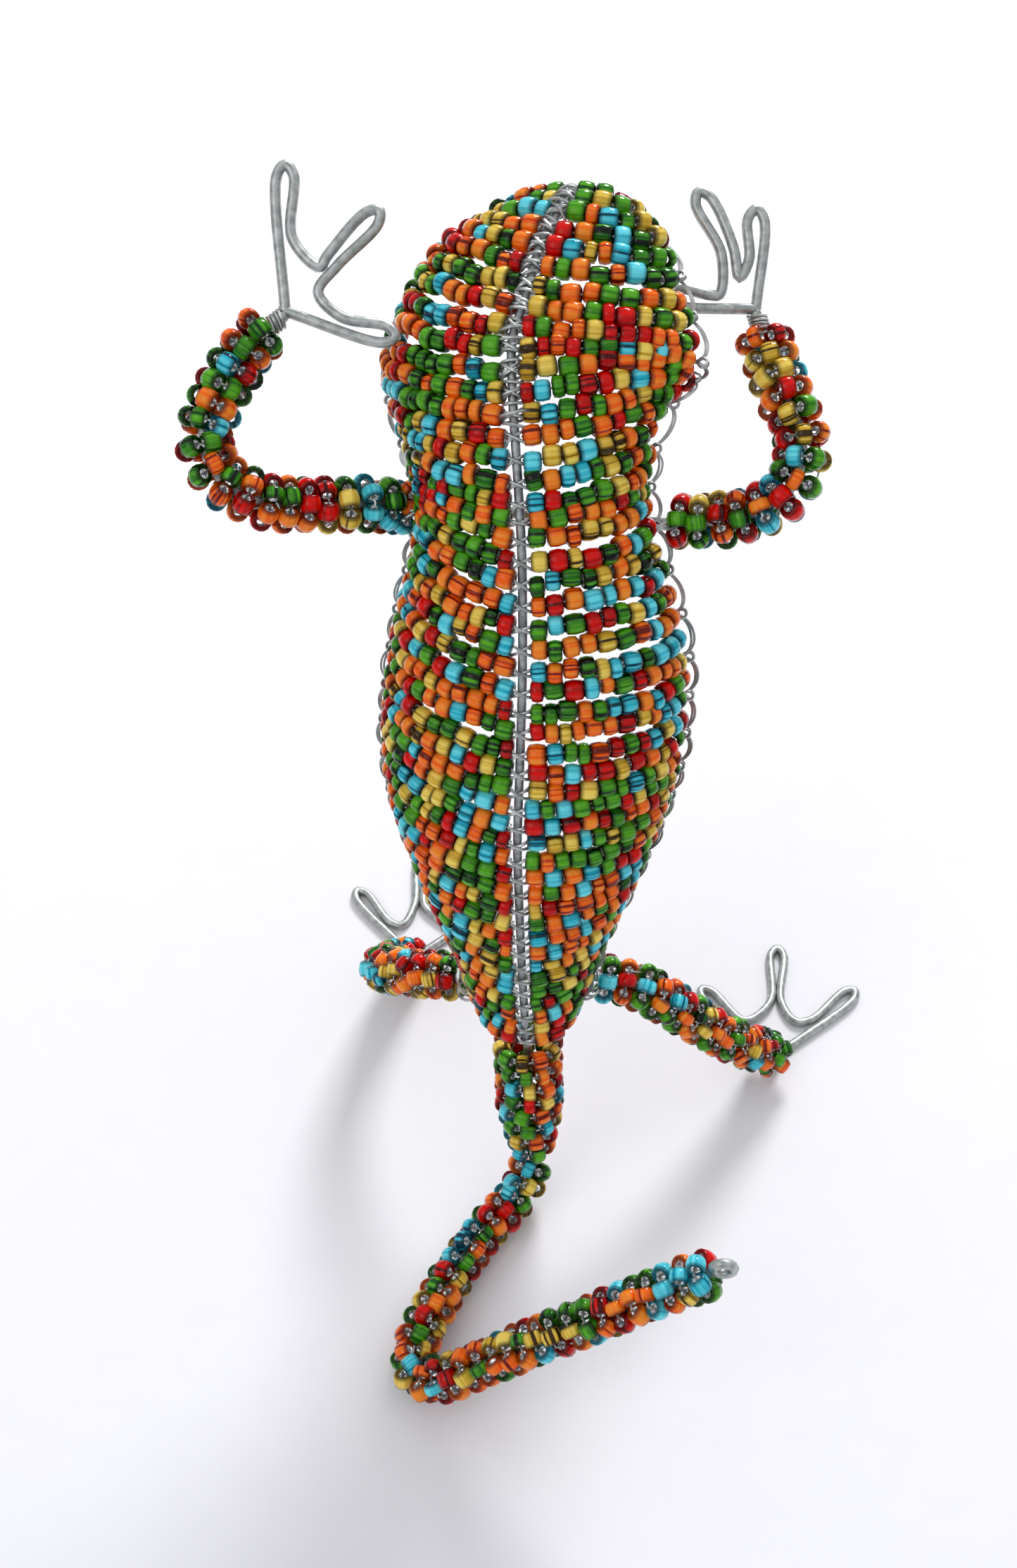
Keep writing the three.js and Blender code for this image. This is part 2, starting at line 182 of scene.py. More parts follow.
# %% The arch at a station
def body_frame(station, reach=0.007):
    """The body's axes at a station, from the back wire's direction that many stations to each side."""
    middle = back.at(station / LAST)
    along = (back.at((station + reach) / LAST) - back.at((station - reach) / LAST)).normalized()
    half, depth, roll = profile.at(station / LAST)
    across = Vector((1, 0, 0)) - along * along.x
    across.normalize()
    across.rotate(Matrix.Rotation(-math.radians(roll), 3, along))
    up = across.cross(along)
    return middle, along, across, up, half, depth


def in_body(station, right, below, reach=0.007):
    middle, _, across, up, _, _ = body_frame(station, reach)
    return middle + across * right - up * below


# A row takes its direction from the back wire this many stations to each side. The wire turns sharply
# beside the jaw, and rows laid square to it there would cross.
ROW_REACH = 1.0


def on_arch(station, side, turn):
    """A place on the arch of beads: turn is 0 on the back and a right angle at the edge."""
    _, _, _, _, half, depth = body_frame(station)
    right = half * math.sin(turn)
    below = depth * (1 - math.cos(turn))
    return in_body(station, side * right, below, ROW_REACH)


def station_at(distance):
    return back.share_at(distance) * LAST


SIDES = {"left": -1, "right": 1}
gap = (on_arch(10.4, 1, math.pi / 2) - on_arch(10.4, -1, math.pi / 2)).length
print("head's width at the jaw:", round(gap, 1), "mm")

# %% [markdown]
# ## Camera, light and table
# The camera looks down on the figure's back. The table is white, and the room is grey near the
# horizon and white above. A small window light beyond the head throws shadows towards the camera, and
# a weak fill softens them.

# %% Camera
CAMERA_PLACE = (Vector((-3.0, -205.0, 311.0)) - BOX_MIDDLE) * MM
CAMERA_DOWN = math.radians(47)
bpy.ops.object.camera_add(location=CAMERA_PLACE, rotation=(math.pi / 2 - CAMERA_DOWN, 0, 0))
camera = bpy.context.object
camera.data.lens = 44.45
camera.data.sensor_width = 36
bpy.context.scene.camera = camera
print("camera is", round(CAMERA_PLACE.length, 3), "m from the origin")


# %% Small helpers for objects
def alone(piece):
    """Selects one object and nothing else."""
    if bpy.context.object and bpy.context.object.mode != "OBJECT":
        bpy.ops.object.mode_set(mode="OBJECT")
    bpy.ops.object.select_all(action="DESELECT")
    piece.select_set(True)
    bpy.context.view_layer.objects.active = piece


def linear(hex_colour):
    """An sRGB hex colour as the linear values that a shader takes."""
    channels = [int(hex_colour[i:i + 2], 16) / 255 for i in (0, 2, 4)]
    return tuple(c / 12.92 if c <= 0.04045 else ((c + 0.055) / 1.055) ** 2.4 for c in channels) + (1.0,)


def add_node(tree, kind, settings=None, **links):
    """Adds a node, sets its inputs or attributes, and links its inputs."""
    node = tree.nodes.new(kind)
    for name, value in (settings or {}).items():
        if name in node.inputs:
            node.inputs[name].default_value = value
        else:
            setattr(node, name, value)
    for name, socket in links.items():
        tree.links.new(socket, node.inputs[name.replace("_", " ")])
    return node


def new_material(name):
    material = bpy.data.materials.new(name)
    material.use_nodes = True
    tree = material.node_tree
    return material, tree, tree.nodes["Principled BSDF"]


# %% Table and lights
white_table, tree, shader = new_material("matt_white_paper")
fibre = add_node(tree, "ShaderNodeTexNoise", {"Scale": 400.0, "Detail": 3.0})
shade = add_node(tree, "ShaderNodeValToRGB", Fac=fibre.outputs["Fac"])
shade.color_ramp.elements[0].color = linear("ececf1")
shade.color_ramp.elements[1].color = linear("f0f0f5")
tree.links.new(shade.outputs["Color"], shader.inputs["Base Color"])
shader.inputs["Roughness"].default_value = 0.9

bpy.ops.object.select_all(action="DESELECT")
bpy.ops.mesh.primitive_plane_add(size=3.0, location=(0, 0, cad_box[0][2]))
table = bpy.context.object
table.name = "table"
table.data.materials.append(white_table)
table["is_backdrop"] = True

world = bpy.data.worlds.new("white_room")
world.use_nodes = True
tree = world.node_tree
sky = add_node(tree, "ShaderNodeTexCoord")
height = add_node(tree, "ShaderNodeSeparateXYZ", Vector=sky.outputs["Generated"])
room = add_node(tree, "ShaderNodeValToRGB", Fac=height.outputs["Z"])
room.color_ramp.elements[0].position = 0.05
room.color_ramp.elements[0].color = linear("b4b6ba")
room.color_ramp.elements[1].position = 0.6
room.color_ramp.elements[1].color = linear("fbfcff")
tree.links.new(room.outputs["Color"], tree.nodes["Background"].inputs["Color"])
tree.nodes["Background"].inputs["Strength"].default_value = 0.72
bpy.context.scene.world = world


def area_light(name, place, size, power):
    bpy.ops.object.light_add(type="AREA", location=place)
    light = bpy.context.object
    light.name = name
    light.data.size = size
    light.data.energy = power
    aim = Vector((0, 0, 0.06)) - Vector(place)
    light.rotation_euler = aim.to_track_quat("-Z", "Y").to_euler()
    return light


area_light("window", (0.25, 0.85, 0.75), 0.35, 9.0)
area_light("fill", (-0.7, -0.6, 0.9), 0.8, 2.5)
bpy.context.scene.view_settings.view_transform = "Standard"

# %% [markdown]
# ## Glass
# The beads are silver-lined glass, which looks bright down the middle of a bead and dark at its rims.
# Here most of that is painted light: streaks of deep, plain and pale colour run along the hole, the pale
# a painted reflection of the silver lining and the deep painted shade, the ends are darkened with painted
# shade, and little light passes through. The wall of the hole gets the lining. Red beads let no light
# through.

# %% Glass and lining
# Painted light on the glass: noise streaks round each bead, whose pale colour is a painted reflection of
# the silver lining and whose deep colour is painted shade.
PAINTED_STREAK_SCALE = 2.3
PAINTED_STREAK_SPREAD = 37.0
TONE_LIFT = 0.22
PAINTED_SHADE_AT, BODY_AT, PAINTED_REFLECTION_AT = 0.42, 0.5, 0.76
# Painted shade at the ends of each bead, where it meets its neighbours: from this share of the half
# length on, the colour is mixed towards the deep colour, up to this much.
END_SHADE_START = 0.5
PAINTED_END_SHADE = 0.95
GLASS_IOR = 1.52
GLASS_SPECULAR = 0.22


def glass(name, pale, body, painted_shade, clear, rough=0.07):
    """Bead glass. Streaks of deep, plain and pale colour run along the hole: the pale is a painted
    reflection of the silver lining seen through the glass, and the deep is painted shade. The ends are
    darker with painted shade.
    """
    material, tree, shader = new_material(name)
    tone = add_node(tree, "ShaderNodeAttribute", {"attribute_name": "bead_tone"})
    end = add_node(tree, "ShaderNodeAttribute", {"attribute_name": "bead_end"})
    round_bead = add_node(tree, "ShaderNodeUVMap")
    angle = add_node(tree, "ShaderNodeSeparateXYZ", Vector=round_bead.outputs["UV"])
    turn = add_node(tree, "ShaderNodeMath", {"operation": "MULTIPLY"})
    turn.inputs[1].default_value = math.tau
    tree.links.new(angle.outputs["X"], turn.inputs[0])
    cosine = add_node(tree, "ShaderNodeMath", {"operation": "COSINE"})
    sine = add_node(tree, "ShaderNodeMath", {"operation": "SINE"})
    tree.links.new(turn.outputs["Value"], cosine.inputs[0])
    tree.links.new(turn.outputs["Value"], sine.inputs[0])
    own = add_node(tree, "ShaderNodeMath", {"operation": "MULTIPLY"})
    own.inputs[1].default_value = PAINTED_STREAK_SPREAD
    tree.links.new(tone.outputs["Fac"], own.inputs[0])
    wrap = add_node(tree, "ShaderNodeCombineXYZ", X=cosine.outputs["Value"], Y=sine.outputs["Value"],
                    Z=own.outputs["Value"])
    painted_lining_streaks = add_node(tree, "ShaderNodeTexNoise", {"Scale": PAINTED_STREAK_SCALE, "Detail": 1.0},
                       Vector=wrap.outputs["Vector"])
    lift = add_node(tree, "ShaderNodeMath", {"operation": "MULTIPLY_ADD"})
    lift.inputs[1].default_value = TONE_LIFT
    tree.links.new(tone.outputs["Fac"], lift.inputs[0])
    tree.links.new(painted_lining_streaks.outputs["Fac"], lift.inputs[2])
    # Painted reflection and shade: the streak noise picks between the deep colour (painted shade), the
    # bead's own colour and the pale colour (a painted reflection of the lining).
    ramp = add_node(tree, "ShaderNodeValToRGB", Fac=lift.outputs["Value"])
    ramp.color_ramp.elements[0].position = PAINTED_SHADE_AT
    ramp.color_ramp.elements[0].color = linear(painted_shade)
    ramp.color_ramp.elements[1].position = PAINTED_REFLECTION_AT
    ramp.color_ramp.elements[1].color = linear(pale)
    middle = ramp.color_ramp.elements.new(BODY_AT)
    middle.color = linear(body)
    # Painted shade: each bead goes towards the deep colour at its ends, standing in for the shade between
    # neighbouring beads.
    edge = add_node(tree, "ShaderNodeMapRange",
                    {"From Min": END_SHADE_START, "From Max": 1.0, "To Max": PAINTED_END_SHADE},
                    Value=end.outputs["Fac"])
    mixed = add_node(tree, "ShaderNodeMix", {"data_type": "RGBA"})
    tree.links.new(edge.outputs["Result"], mixed.inputs["Factor"])
    mixed.inputs[7].default_value = linear(painted_shade)
    tree.links.new(ramp.outputs["Color"], mixed.inputs[6])
    tree.links.new(mixed.outputs[2], shader.inputs["Base Color"])
    shader.inputs["Transmission Weight"].default_value = clear
    shader.inputs["IOR"].default_value = GLASS_IOR
    shader.inputs["Specular IOR Level"].default_value = GLASS_SPECULAR
    shader.inputs["Roughness"].default_value = rough
    return material


# Per colour: the pale painted reflection of the lining, the glass's own colour, the deep painted shade,
# and how much light passes through.
GLASSES = {
    "orange": glass("orange_bead_glass", "ff9428", "ff5c04", "6e1400", 0.08),
    "green": glass("green_bead_glass", "5cb41e", "14640e", "021202", 0.1),
    "red": glass("red_bead_glass", "e00802", "b00200", "480000", 0.0, 0.1),
    "aqua": glass("aqua_bead_glass", "70ecfa", "14b6d0", "023a4c", 0.1),
    "gold": glass("gold_bead_glass", "ffe066", "d4a824", "382602", 0.1),
}
COLOURS = ["orange"] * 27 + ["green"] * 30 + ["red"] * 13 + ["aqua"] * 16 + ["gold"] * 13

lining, tree, shader = new_material("silvered_bead_hole")
scuffs = add_node(tree, "ShaderNodeTexNoise", {"Scale": 900.0})
shine = add_node(tree, "ShaderNodeValToRGB", Fac=scuffs.outputs["Fac"])
shine.color_ramp.elements[0].color = linear("d8dadc")
shine.color_ramp.elements[1].color = linear("ffffff")
tree.links.new(shine.outputs["Color"], shader.inputs["Base Color"])
shader.inputs["Metallic"].default_value = 1.0
shader.inputs["Roughness"].default_value = 0.25
print("glass colours:", list(GLASSES))


# %% [markdown]
# ## Wires
# The galvanised back wire is dull grey with a faint bloom of zinc. The soft limb wire and the fine
# wire are paler. All three get a mottled colour, a millimetre or two across, and fine drawing marks.

# %% Wire metals
WIRE_METALLIC = 0.85
DRAWING_MARKS = 0.03 * MM


def wire_metal(name, pale, dark, rough, bloom_mm=1.2):
    material, tree, shader = new_material(name)
    place = add_node(tree, "ShaderNodeTexCoord")
    bloom = add_node(tree, "ShaderNodeTexNoise", {"Scale": 1 / (bloom_mm * MM), "Detail": 4.0},
                     Vector=place.outputs["Object"])
    colour = add_node(tree, "ShaderNodeValToRGB", Fac=bloom.outputs["Fac"])
    colour.color_ramp.elements[0].position = 0.35
    colour.color_ramp.elements[0].color = linear(dark)
    colour.color_ramp.elements[1].position = 0.65
    colour.color_ramp.elements[1].color = linear(pale)
    tree.links.new(colour.outputs["Color"], shader.inputs["Base Color"])
    grain = add_node(tree, "ShaderNodeTexNoise", {"Scale": 6000.0, "Detail": 2.0},
                     Vector=place.outputs["Object"])
    bump = add_node(tree, "ShaderNodeBump", {"Strength": 0.25, "Distance": DRAWING_MARKS},
                    Height=grain.outputs["Fac"])
    tree.links.new(bump.outputs["Normal"], shader.inputs["Normal"])
    spread = add_node(tree, "ShaderNodeMapRange", {"To Min": rough - 0.08, "To Max": rough + 0.1},
                      Value=bloom.outputs["Fac"])
    tree.links.new(spread.outputs["Result"], shader.inputs["Roughness"])
    shader.inputs["Metallic"].default_value = WIRE_METALLIC
    return material


zinc_wire = wire_metal("galvanised_steel_wire", "c0c3c4", "8a8e90", 0.5)
limb_metal = wire_metal("annealed_aluminium_wire", "c6cac8", "9da2a0", 0.42)
fine_wire = wire_metal("fine_binding_wire", "c9cccb", "969a99", 0.38, 2.5)
print("wire metals:", zinc_wire.name, limb_metal.name, fine_wire.name)


# %% A wire along a route
def wire(name, routes, diameter, metal, sides=10):
    """Round wire along one or more routes, each a list of places in millimetres, made a mesh."""
    shape = bpy.data.curves.new(name, "CURVE")
    shape.dimensions = "3D"
    shape.bevel_depth = diameter / 2 * MM
    shape.bevel_resolution = max(0, sides // 4 - 1)
    shape.use_fill_caps = True
    for route in routes:
        spline = shape.splines.new("POLY")
        spline.points.add(len(route) - 1)
        for point, place in zip(spline.points, route):
            point.co = (*((place - BOX_MIDDLE) * MM), 1.0)
    piece = bpy.data.objects.new(name, shape)
    bpy.context.scene.collection.objects.link(piece)
    alone(piece)
    bpy.ops.object.convert(target="MESH")
    piece = bpy.context.object
    piece.data.materials.append(metal)
    bpy.ops.object.shade_smooth_by_angle(angle=math.radians(50))
    return piece


def route_along(curve, start, end, step=0.8):
    count = max(2, round((end - start) / step))
    return [curve.place(start + (end - start) * i / count) for i in range(count + 1)]


# %% [markdown]
# ## One bead
# A bead starts as a ring, is stretched along its hole and flattened at its ends, and its hole's wall
# gets the silver lining. Every bead on the lizard is a copy of it, a little longer or wider.

# %% The bead
END_ROUNDING = 0.64
LINING_ROOM = 0.18
HALF = 0.5
bpy.ops.object.select_all(action="DESELECT")
bpy.ops.mesh.primitive_torus_add(
    major_segments=14, minor_segments=8,
    major_radius=(BEAD + BEAD_HOLE) / 4 * MM, minor_radius=(BEAD - BEAD_HOLE) / 4 * MM)
bead = bpy.context.object
bead.name = "bead_pattern"
ring_radius = (BEAD - BEAD_HOLE) / 4
bpy.ops.object.mode_set(mode="EDIT")
bpy.ops.mesh.select_all(action="SELECT")
bpy.ops.transform.resize(value=(1, 1, HALF / ring_radius))
bpy.ops.mesh.select_all(action="DESELECT")
bpy.ops.object.mode_set(mode="OBJECT")
for vertex in bead.data.vertices:
    height = vertex.co.z / MM / HALF
    vertex.co.z = math.copysign(abs(height) ** END_ROUNDING, height) * HALF * MM
for face in bead.data.polygons:
    middle = face.center
    inward = middle.x * face.normal.x + middle.y * face.normal.y < 0
    in_hole = math.hypot(middle.x, middle.y) < (BEAD_HOLE / 2 + LINING_ROOM) * MM
    face.material_index = 1 if inward and in_hole else 0
    face.use_smooth = True
# bead_end runs from 0 in the middle of a bead to 1 at its ends. The glass paints shade by it.
ends = bead.data.attributes.new("bead_end", "FLOAT", "POINT")
ends.data.foreach_set("value", [min(1.0, abs(v.co.z) / (HALF * MM)) for v in bead.data.vertices])
print("a bead has", len(bead.data.polygons), "faces")


# %% Strings of beads
def string_beads(name, beads):
    """Copies the bead to each (middle, hole direction, length, colour) and joins the copies."""
    names = sorted({colour for _, _, _, colour in beads})
    copies = []
    for middle, direction, length, colour in beads:
        mesh = bead.data.copy()
        for other in names:
            mesh.materials.append(GLASSES[other])
        mesh.materials.append(lining)
        for face in mesh.polygons:
            face.material_index = len(names) if face.material_index else names.index(colour)
        spin = Matrix.Rotation(chance.uniform(0, math.pi), 4, "Z")
        width = chance.uniform(*BEAD_WIDTHS)
        size = Matrix.Diagonal((width, width, length, 1))
        turn = direction.to_track_quat("Z", "Y").to_matrix().to_4x4()
        shift = Matrix.Translation((middle - BOX_MIDDLE) * MM)
        mesh.transform(shift @ turn @ spin @ size)
        tone = mesh.attributes.new("bead_tone", "FLOAT", "POINT")
        value = chance.uniform(0.0, 1.0)
        tone.data.foreach_set("value", [value] * len(mesh.vertices))
        copy = bpy.data.objects.new(name, mesh)
        bpy.context.scene.collection.objects.link(copy)
        copies.append(copy)
    alone(copies[0])
    for copy in copies:
        copy.select_set(True)
    bpy.ops.object.join()
    piece = bpy.context.object
    piece.name = name
    return piece


def pick_colour():
    return chance.choice(COLOURS)


def jittered(direction, amount=0.12):
    return (direction + Vector([chance.uniform(-amount, amount) for _ in range(3)])).normalized()


# %% [markdown]
# ## The beadwork of the body
# Rows of beads run from the back wire round to each edge. Every string sags a little its own way, and
# its beads are longer and shorter, so the rows are even but never straight.

# %% Rows of beads
# A row's outer end lies nearer the head than its start. In millimetres, at each station: how much
# for a row's slant on the left, on the right, and for the forward tilt of the whole row.
SLANTS = [(0, 1, 0, 0), (2, 5, 1, 0), (4, 7, 2, 0), (5.5, 8, 2, 1), (7, 6, 1, 3), (8.5, 4, 0, 6),
          (10.2, 2, 0, 8.5), (11.5, 2, 0, 8.5), (12.5, 1, 0, 7), (14, 0, 0, 2)]


def slant_and_tilt(station, side):
    for (low, *near), (high, *far) in zip(SLANTS, SLANTS[1:]):
        if station <= high:
            share = (station - low) / (high - low)
            left, right, tilt = (a + (b - a) * share for a, b in zip(near, far))
            return (left if side < 0 else right), tilt
    return 0.0, 0.0


ROW_STEPS = 60
EDGE_ROOM = 0.5
BEAD_GAP = 0.06
START_JITTER = 0.25
LIFT_JITTER = 0.35
ALONG_JITTER = 0.25
ROW_TWIST = 0.09
WAVE_HEIGHT = 0.3
WAVE_TURN = 0.7
STRING_START = 0.9
STRING_END = 0.4


def fill_row(start, side, sway):
    """The beads of one row on one side, its string's route, and the station where it ends."""
    steps = ROW_STEPS
    slant, tilt = slant_and_tilt(station_at(start), side)
    first_wave = chance.uniform(0, math.tau)
    route = []
    for i in range(steps + 1):
        share = i / steps
        turn = math.pi / 2 * share
        shift = slant * share + tilt * (1 - math.cos(turn)) + sway * math.sin(2 * turn)
        station = min(station_at(start + shift), SNOUT_END)
        route.append(on_arch(station, side, turn))
    lengths = [0.0]
    for a, b in zip(route, route[1:]):
        lengths.append(lengths[-1] + (b - a).length)
    total = lengths[-1]

    def spot(distance):
        distance = min(max(distance, 0.0), total)
        i = max(k for k in range(steps) if lengths[k] <= distance)
        share = (distance - lengths[i]) / (lengths[i + 1] - lengths[i])
        return route[i].lerp(route[i + 1], min(share, 1.0))

    _, along, _, up, _, _ = body_frame(station_at(start), ROW_REACH)
    beads = []
    distance = SPINE_CLEAR + chance.uniform(-START_JITTER, START_JITTER)
    while True:
        length = chance.uniform(*BEAD_LENGTHS)
        if distance + length > total + EDGE_ROOM:
            break
        direction = spot(distance + length) - spot(distance)
        middle = spot(distance + length / 2)
        wave = WAVE_HEIGHT * math.sin(first_wave + distance * WAVE_TURN)
        lift = chance.uniform(-LIFT_JITTER, LIFT_JITTER)
        drift = wave + chance.uniform(-ALONG_JITTER, ALONG_JITTER)
        middle = middle + up * lift + along * drift
        beads.append((middle, jittered(direction.normalized(), ROW_TWIST), length, pick_colour()))
        distance += length + chance.uniform(0.0, BEAD_GAP)
    string_end = spot(total) + (spot(total) - spot(total - 1)) * STRING_END
    string = [spot(STRING_START)] + [b[0] for b in beads] + [string_end]
    return beads, string, station


FIRST_ROW = 0.1
BEADWORK = [
    ("hip_beads", 0.2, 1.6), ("lower_back_beads", 1.6, 4), ("upper_back_beads", 4, 6.2),
    ("neck_beads", 6.2, 9), ("head_beads", 9, LAST),
]
first_row = back.lengths[round(FIRST_ROW / LAST * back.samples)]
last_row = back.lengths[round(SNOUT_END / LAST * back.samples)]


NECK_STATION, NECK_SPREAD, NECK_CROWDING = 6.6, 0.45, 0.85
HIP_SPREAD, HIP_CROWDING = 0.9, 0.75
PITCH_JITTER = 0.15
SNOUT_ROOM = 2.2
ROW_SWAY = 0.4


def pitch_at(station):
    """Rows are wider apart on the back and head, and crowd together at the neck and the hips."""
    neck = math.exp(-((station - NECK_STATION) / NECK_SPREAD) ** 2)
    hips = math.exp(-(station / HIP_SPREAD) ** 2)
    return ROW_PITCH - NECK_CROWDING * neck - HIP_CROWDING * hips


row_places = [first_row]
while row_places[-1] < last_row - SNOUT_ROOM:
    pitch = pitch_at(station_at(row_places[-1]))
    row_places.append(row_places[-1] + pitch + chance.uniform(-PITCH_JITTER, PITCH_JITTER))
rows = [station_at(place) for place in row_places]
rims = {"left": [], "right": []}
strings = []
for label, side in SIDES.items():
    beads_of = {panel: [] for panel, _, _ in BEADWORK}
    for place, station in zip(row_places, rows):
        beads, string, rim_station = fill_row(place, side, chance.uniform(-ROW_SWAY, ROW_SWAY))
        panel = next(p for p, low, high in BEADWORK if low <= max(station, 0.2) < high)
        beads_of[panel] += beads
        strings.append(string)
        rims[label].append((string[-1], rim_station))
    for panel, beads in beads_of.items():
        piece = string_beads(f"strung_{label}_{panel}", beads)
        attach(piece, "body")
        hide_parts(f"{label}_{panel}")
print("rows a side:", len(rows))

# %% The strings inside the rows
inner_strings = wire("bead_strings", strings, STRING_WIRE, fine_wire, 6)
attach(inner_strings, "body")

# %% [markdown]
# ## Wires of the body
# The back wire shows between the two halves of the beadwork. From row to row, two strands cross over
# it in an X, and at the edges the strings loop from one row to the next but one.

# %% Back wire
core = [(1.1, -15.0, 13.0), (0.9, -13.2, 19.0), (0.5, -11.0, 28.0), (0.3, -10.1, 34.5)]
spine = Curve(core + [s[:3] for s in STATIONS])
back_wire = wire("back_wire", [route_along(spine, 0, spine.length, 1.5)], SPINE_WIRE, zinc_wire, 14)
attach(back_wire, "body")
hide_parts("spine_wire")


# %% Lashings over the back wire
STRAND_STEPS = 14
STRAND_START = SPINE_CLEAR + 0.5
STRAND_CLIMB = SPINE_WIRE / 2 * 0.7
CROSSING = (0.18, 0.36)


def over_back(station_a, side_a, station_b, side_b, rise):
    """A strand from one row's start over the back wire to another's."""
    middle_station = (station_a + station_b) / 2
    middle, _, _, up, _, _ = body_frame(middle_station)
    a = on_arch(station_a, side_a, 0.0) + body_frame(station_a)[2] * side_a * STRAND_START
    b = on_arch(station_b, side_b, 0.0) + body_frame(station_b)[2] * side_b * STRAND_START
    top = middle + up * (SPINE_WIRE / 2 + rise)
    near_a = a.lerp(top, 0.55) + up * STRAND_CLIMB
    near_b = b.lerp(top, 0.55) + up * STRAND_CLIMB
    curve = Curve([a, near_a, top, near_b, b], 60)
    return [curve.at(i / STRAND_STEPS) for i in range(STRAND_STEPS + 1)]


HEAD_START = 8.4
lashings = []
for i, station in enumerate(rows[:-1]):
    following = rows[i + 1]
    shift = (following - station) * chance.uniform(*CROSSING)
    lashings.append(over_back(station - shift, -1, station + shift, 1, 0.2))
    lashings.append(over_back(station + shift, -1, station - shift, 1, 0.55))
lash_piece = wire("back_lashings", lashings, LASH_WIRE, fine_wire, 8)
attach(lash_piece, "body")

# %% Coils over the head's part of the back wire
COIL_PITCH = 1.55
COIL_STEPS = 12
COIL_WIDEN = 1.2
COIL_LOOSE = (0.35, 1.35)
COIL_LEAN = (-0.2, 1.1)
COIL_END = 0.8
coil = []
distance = back.lengths[round(HEAD_START / LAST * back.samples)]
turn = 0.0
while distance < last_row + COIL_END:
    middle, along, across, up, _, _ = body_frame(station_at(distance))
    if turn % math.tau < math.tau / COIL_STEPS:
        loose = chance.uniform(*COIL_LOOSE)
        lean = chance.uniform(*COIL_LEAN)
    out = SPINE_WIRE / 2 + loose
    coil.append(middle + along * lean * math.cos(turn)
                + (across * math.cos(turn) * COIL_WIDEN + up * math.sin(turn)) * out)
    turn += math.tau / COIL_STEPS
    distance += COIL_PITCH / COIL_STEPS
head_coil = wire("head_coil", [coil], LASH_WIRE, limb_metal, 8)
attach(head_coil, "body")
print("lashings:", len(lashings))


# %% Loops along the edges
RIM_BULGE = 2.2
RIM_SPREAD = 0.4
RIM_LIFT = 0.12
RIM_SHAPE = ((0.12, 0.6), (0.35, 0.95), (0.65, 0.95), (0.88, 0.6))
RIM_EYE_OUT = 1.35
RIM_EYE = 0.7
RIM_EYE_TURNS = 1.6
RIM_EYE_STEPS = 20


def edge_loops(label):
    """Doubled arcs from row to row along one edge, with a round eye between each two."""
    side = SIDES[label]
    routes = []
    ends = rims[label]
    for start in range(0, len(ends) - 2, 2):
        a, b = ends[start][0], ends[start + 2][0]
        _, along, across, up, _, _ = body_frame(ends[start + 1][1])
        outward = (across * side - up * RIM_LIFT).normalized()
        for strand in range(2):
            bulge = RIM_BULGE + RIM_SPREAD * strand + chance.uniform(-0.15, 0.15)
            points = [a]
            for share, reach in RIM_SHAPE:
                points.append(a.lerp(b, share) + outward * bulge * reach)
            curve = Curve(points + [b], 60)
            routes.append([curve.at(i / STRAND_STEPS) for i in range(STRAND_STEPS + 1)])
        eye = b + outward * RIM_EYE_OUT
        ring = []
        for i in range(RIM_EYE_STEPS + 1):
            angle = math.tau * RIM_EYE_TURNS * i / RIM_EYE_STEPS
            ring.append(eye + (along * math.cos(angle) + outward * math.sin(angle)) * RIM_EYE
                        + up * 0.05 * i)
        routes.append(ring)
    return routes


for label in SIDES:
    piece = wire(f"{label}_edge_loops", edge_loops(label), STRING_WIRE + 0.06, fine_wire, 6)
    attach(piece, "body")
    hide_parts(f"{label}_edge_wire")
print("edge loops made")

# %% [markdown]
# ## Legs
# Each leg is a soft wire with beads wound round it in close rings. The wire is bent at the elbow or knee,
# and its end is bent into three hairpin toes. Beads and wire near a bend make pieces of their own, which
# are not attached to either side.

# %% Routes of the legs
FRONT_LEGS = {"left": 7.0, "right": 6.42}
HIND_LEGS = {"left": 0.35, "right": 0.35}
LEGS = {
    "left_front": ("left", FRONT_LEGS, (-48.3, 28.4, 132.6), [
        (-24.5, 30.4, 121.9), (-31.5, 28.4, 123.4), (-40.7, 25.4, 126.8), (-46.7, 26.8, 130.6),
        (-48.6, 30.2, 134.9), (-46.0, 35.2, 138.9), (-41.6, 40.6, 144.0), (-36.5, 44.4, 146.6)]),
    "right_front": ("right", FRONT_LEGS, (40.9, 29.0, 131.6), [
        (27.0, 26.6, 121.6), (33.0, 25.7, 123.6), (38.2, 25.6, 126.9), (40.8, 28.2, 130.8),
        (40.8, 32.5, 134.4), (38.6, 37.6, 137.2), (36.5, 43.6, 140.6), (34.8, 49.2, 143.8)]),
    "left_hind": ("left", HIND_LEGS, (-26.4, 16.6, 22.9), [
        (-16.6, 4.6, 36.6), (-21.8, 9.9, 30.2), (-26.4, 16.6, 22.9), (-26.0, 24.5, 13.8),
        (-23.4, 32.5, 5.4), (-22.0, 35.5, FLOOR_WIRE)]),
    "right_hind": ("right", HIND_LEGS, (32.6, 1.9, 25.0), [
        (19.5, 0.0, 39.4), (26.2, 0.5, 33.0), (32.6, 1.9, 25.0), (41.0, 5.5, 13.8),
        (46.8, 9.5, 5.6), (48.5, 11.5, FLOOR_WIRE)]),
}
FEET = {
    "left_front": (((90, 22), (47, 20.7), (-13, 17)), ((52, 8.4), (30, 5.7))),
    "right_front": (((171, 14.2), (116, 20), (90, 15.3)), ((158, 6), (118, 5.4))),
    "left_hind": (((125.4, 21.7), (87.7, 27.4), (46, 21)), ((109, 9), (57, 10.8))),
    "right_hind": (((128.7, 20.8), (83.3, 26.7), (42.3, 23.6)), ((113, 9.6), (59, 9.7))),
}
TOE_TIP = 1.25
TOE_ROOT = 1.05
TOE_START = 0.6
HAND_TILT = math.radians(43)


def leg_root(pair, label):
    _, _, _, _, half, depth = body_frame(pair[label])
    return in_body(pair[label], SIDES[label] * (half + ROOT_OUT), depth + ROOT_DROP)


